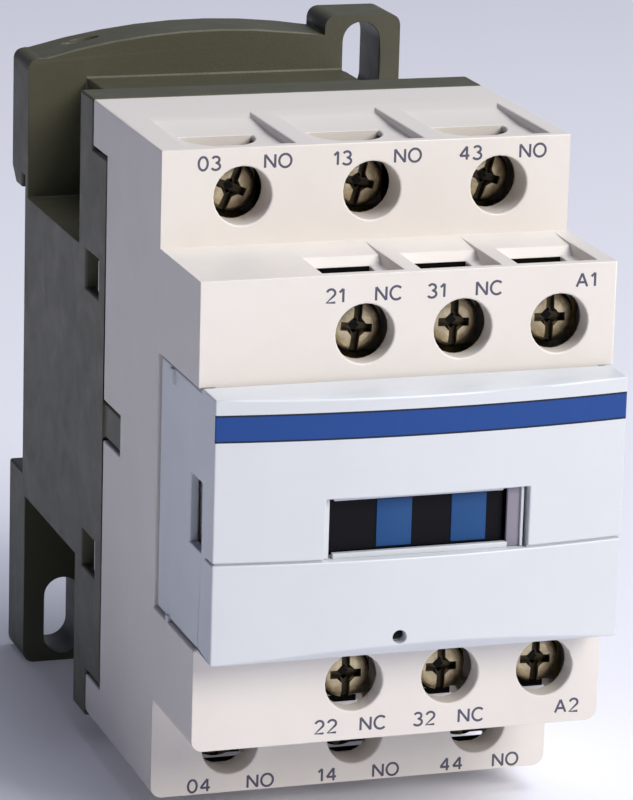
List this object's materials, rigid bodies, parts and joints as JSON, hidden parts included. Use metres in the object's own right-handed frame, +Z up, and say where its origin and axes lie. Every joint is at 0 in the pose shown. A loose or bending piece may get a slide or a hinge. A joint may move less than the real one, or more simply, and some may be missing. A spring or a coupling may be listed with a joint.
{
  "type": "din rail control relay",
  "caption": "Modular control relay for a 35 mm rail: stepped two-part casing, screw terminals above and below, a window onto the moving contact carrier, and a coil with its magnet inside.",
  "frame": {"origin": "centre of the rail seat, the flat floor of the rail recess, at the rail's mid height", "axes": "+X to the right seen from the front, -Y out of the front cover, +Y into the rail, +Z up"},
  "size_m": [0.045, 0.084, 0.0769],
  "materials": {
    "base_plastic": "moulded, fine matt texture",
    "housing_plastic": "moulded, satin",
    "cover_plastic": "moulded, smooth",
    "carrier_plastic": "moulded, satin",
    "bobbin_plastic": "moulded, matt",
    "screw_steel": "zinc plated, dull yellowish",
    "clamp_steel": "pressed and plated",
    "spring_steel": "drawn wire",
    "clip_steel": "pressed, zinc plated",
    "magnet_steel": "stacked laminations, ground pole faces",
    "winding_copper": "enamelled copper wire",
    "contact_copper": "pressed copper alloy with silver tips",
    "terminal_brass": "pressed brass",
    "pad_rubber": "moulded"
  },
  "bodies": {
    "housing": {"base": "base_plastic", "front_housing": "housing_plastic", "front_cover": "cover_plastic", "rail_clip_spring": "spring_steel", "core_pad": "pad_rubber", "fixed_core": "magnet_steel", "shading_ring_top": "contact_copper", "shading_ring_bottom": "contact_copper", "coil_bobbin": "bobbin_plastic", "coil_winding": "winding_copper", "return_spring": "spring_steel", "fixed_contact_03": "terminal_brass", "fixed_contact_13": "terminal_brass", "fixed_contact_43": "terminal_brass", "fixed_contact_21": "terminal_brass", "fixed_contact_31": "terminal_brass", "coil_terminal_a1": "terminal_brass", "fixed_contact_22": "terminal_brass", "fixed_contact_32": "terminal_brass", "coil_terminal_a2": "terminal_brass", "fixed_contact_04": "terminal_brass", "fixed_contact_14": "terminal_brass", "fixed_contact_44": "terminal_brass"},
    "carriage": {"contact_carrier": "carrier_plastic", "moving_armature": "magnet_steel", "moving_bridge_03": "contact_copper", "moving_bridge_13": "contact_copper", "moving_bridge_43": "contact_copper", "moving_bridge_21": "contact_copper", "moving_bridge_31": "contact_copper", "contact_spring_03": "spring_steel", "contact_spring_13": "spring_steel", "contact_spring_43": "spring_steel", "contact_spring_21": "spring_steel", "contact_spring_31": "spring_steel"},
    "rail_clip": {"rail_clip": "clip_steel"},
    "clamp_03": {"clamp_washer_03": "clamp_steel"},
    "screw_03": {"terminal_screw_03": "screw_steel"},
    "clamp_13": {"clamp_washer_13": "clamp_steel"},
    "screw_13": {"terminal_screw_13": "screw_steel"},
    "clamp_43": {"clamp_washer_43": "clamp_steel"},
    "screw_43": {"terminal_screw_43": "screw_steel"},
    "clamp_21": {"clamp_washer_21": "clamp_steel"},
    "screw_21": {"terminal_screw_21": "screw_steel"},
    "clamp_31": {"clamp_washer_31": "clamp_steel"},
    "screw_31": {"terminal_screw_31": "screw_steel"},
    "clamp_a1": {"clamp_washer_a1": "clamp_steel"},
    "screw_a1": {"terminal_screw_a1": "screw_steel"},
    "clamp_22": {"clamp_washer_22": "clamp_steel"},
    "screw_22": {"terminal_screw_22": "screw_steel"},
    "clamp_32": {"clamp_washer_32": "clamp_steel"},
    "screw_32": {"terminal_screw_32": "screw_steel"},
    "clamp_a2": {"clamp_washer_a2": "clamp_steel"},
    "screw_a2": {"terminal_screw_a2": "screw_steel"},
    "clamp_04": {"clamp_washer_04": "clamp_steel"},
    "screw_04": {"terminal_screw_04": "screw_steel"},
    "clamp_14": {"clamp_washer_14": "clamp_steel"},
    "screw_14": {"terminal_screw_14": "screw_steel"},
    "clamp_44": {"clamp_washer_44": "clamp_steel"},
    "screw_44": {"terminal_screw_44": "screw_steel"}
  },
  "joints": [
    {"name": "carriage_slide", "type": "slide", "parent": "housing", "child": "carriage", "axis": [0, 1, 0], "range_m": [0, 0.004], "stiffness_N_per_m": 250, "springref_m": -0.006, "deforming": ["return_spring"]},
    {"name": "rail_clip_slide", "type": "slide", "parent": "housing", "child": "rail_clip", "axis": [0, 0, -1], "range_m": [0, 0.003], "stiffness_N_per_m": 400, "springref_m": -0.002, "deforming": ["rail_clip_spring"]},
    {"name": "clamp_slide_03", "type": "slide", "parent": "housing", "child": "clamp_03", "axis": [0, -1, 0], "range_m": [0, 0.0018]},
    {"name": "screw_turn_03", "type": "hinge", "parent": "clamp_03", "child": "screw_03", "pos_m": [-0.0137, -0.0526, 0.0276], "axis": [0, -1, 0], "range_deg": [0, 1085]},
    {"name": "clamp_slide_13", "type": "slide", "parent": "housing", "child": "clamp_13", "axis": [0, -1, 0], "range_m": [0, 0.0018]},
    {"name": "screw_turn_13", "type": "hinge", "parent": "clamp_13", "child": "screw_13", "pos_m": [0.00045, -0.0526, 0.0276], "axis": [0, -1, 0], "range_deg": [0, 1085]},
    {"name": "clamp_slide_43", "type": "slide", "parent": "housing", "child": "clamp_43", "axis": [0, -1, 0], "range_m": [0, 0.0018]},
    {"name": "screw_turn_43", "type": "hinge", "parent": "clamp_43", "child": "screw_43", "pos_m": [0.0146, -0.0526, 0.0276], "axis": [0, -1, 0], "range_deg": [0, 1085]},
    {"name": "clamp_slide_21", "type": "slide", "parent": "housing", "child": "clamp_21", "axis": [0, -1, 0], "range_m": [0, 0.0018]},
    {"name": "screw_turn_21", "type": "hinge", "parent": "clamp_21", "child": "screw_21", "pos_m": [-0.0049, -0.0688, 0.0161], "axis": [0, -1, 0], "range_deg": [0, 1085]},
    {"name": "clamp_slide_31", "type": "slide", "parent": "housing", "child": "clamp_31", "axis": [0, -1, 0], "range_m": [0, 0.0018]},
    {"name": "screw_turn_31", "type": "hinge", "parent": "clamp_31", "child": "screw_31", "pos_m": [0.0057, -0.0688, 0.0161], "axis": [0, -1, 0], "range_deg": [0, 1085]},
    {"name": "clamp_slide_a1", "type": "slide", "parent": "housing", "child": "clamp_a1", "axis": [0, -1, 0], "range_m": [0, 0.0018]},
    {"name": "screw_turn_a1", "type": "hinge", "parent": "clamp_a1", "child": "screw_a1", "pos_m": [0.0163, -0.0688, 0.0161], "axis": [0, -1, 0], "range_deg": [0, 1085]},
    {"name": "clamp_slide_22", "type": "slide", "parent": "housing", "child": "clamp_22", "axis": [0, -1, 0], "range_m": [0, 0.0018]},
    {"name": "screw_turn_22", "type": "hinge", "parent": "clamp_22", "child": "screw_22", "pos_m": [-0.0049, -0.0688, -0.0214], "axis": [0, -1, 0], "range_deg": [0, 1085]},
    {"name": "clamp_slide_32", "type": "slide", "parent": "housing", "child": "clamp_32", "axis": [0, -1, 0], "range_m": [0, 0.0018]},
    {"name": "screw_turn_32", "type": "hinge", "parent": "clamp_32", "child": "screw_32", "pos_m": [0.0057, -0.0688, -0.0214], "axis": [0, -1, 0], "range_deg": [0, 1085]},
    {"name": "clamp_slide_a2", "type": "slide", "parent": "housing", "child": "clamp_a2", "axis": [0, -1, 0], "range_m": [0, 0.0018]},
    {"name": "screw_turn_a2", "type": "hinge", "parent": "clamp_a2", "child": "screw_a2", "pos_m": [0.0163, -0.0688, -0.0214], "axis": [0, -1, 0], "range_deg": [0, 1085]},
    {"name": "clamp_slide_04", "type": "slide", "parent": "housing", "child": "clamp_04", "axis": [0, -1, 0], "range_m": [0, 0.0018]},
    {"name": "screw_turn_04", "type": "hinge", "parent": "clamp_04", "child": "screw_04", "pos_m": [-0.0137, -0.0526, -0.0329], "axis": [0, -1, 0], "range_deg": [0, 1085]},
    {"name": "clamp_slide_14", "type": "slide", "parent": "housing", "child": "clamp_14", "axis": [0, -1, 0], "range_m": [0, 0.0018]},
    {"name": "screw_turn_14", "type": "hinge", "parent": "clamp_14", "child": "screw_14", "pos_m": [0.00045, -0.0526, -0.0329], "axis": [0, -1, 0], "range_deg": [0, 1085]},
    {"name": "clamp_slide_44", "type": "slide", "parent": "housing", "child": "clamp_44", "axis": [0, -1, 0], "range_m": [0, 0.0018]},
    {"name": "screw_turn_44", "type": "hinge", "parent": "clamp_44", "child": "screw_44", "pos_m": [0.0146, -0.0526, -0.0329], "axis": [0, -1, 0], "range_deg": [0, 1085]}
  ],
  "couplings": [
    {"joint": "screw_turn_03", "follows": "clamp_slide_03", "rad_per_m": 10472},
    {"joint": "screw_turn_13", "follows": "clamp_slide_13", "rad_per_m": 10472},
    {"joint": "screw_turn_43", "follows": "clamp_slide_43", "rad_per_m": 10472},
    {"joint": "screw_turn_21", "follows": "clamp_slide_21", "rad_per_m": 10472},
    {"joint": "screw_turn_31", "follows": "clamp_slide_31", "rad_per_m": 10472},
    {"joint": "screw_turn_a1", "follows": "clamp_slide_a1", "rad_per_m": 10472},
    {"joint": "screw_turn_22", "follows": "clamp_slide_22", "rad_per_m": 10472},
    {"joint": "screw_turn_32", "follows": "clamp_slide_32", "rad_per_m": 10472},
    {"joint": "screw_turn_a2", "follows": "clamp_slide_a2", "rad_per_m": 10472},
    {"joint": "screw_turn_04", "follows": "clamp_slide_04", "rad_per_m": 10472},
    {"joint": "screw_turn_14", "follows": "clamp_slide_14", "rad_per_m": 10472},
    {"joint": "screw_turn_44", "follows": "clamp_slide_44", "rad_per_m": 10472}
  ]
}
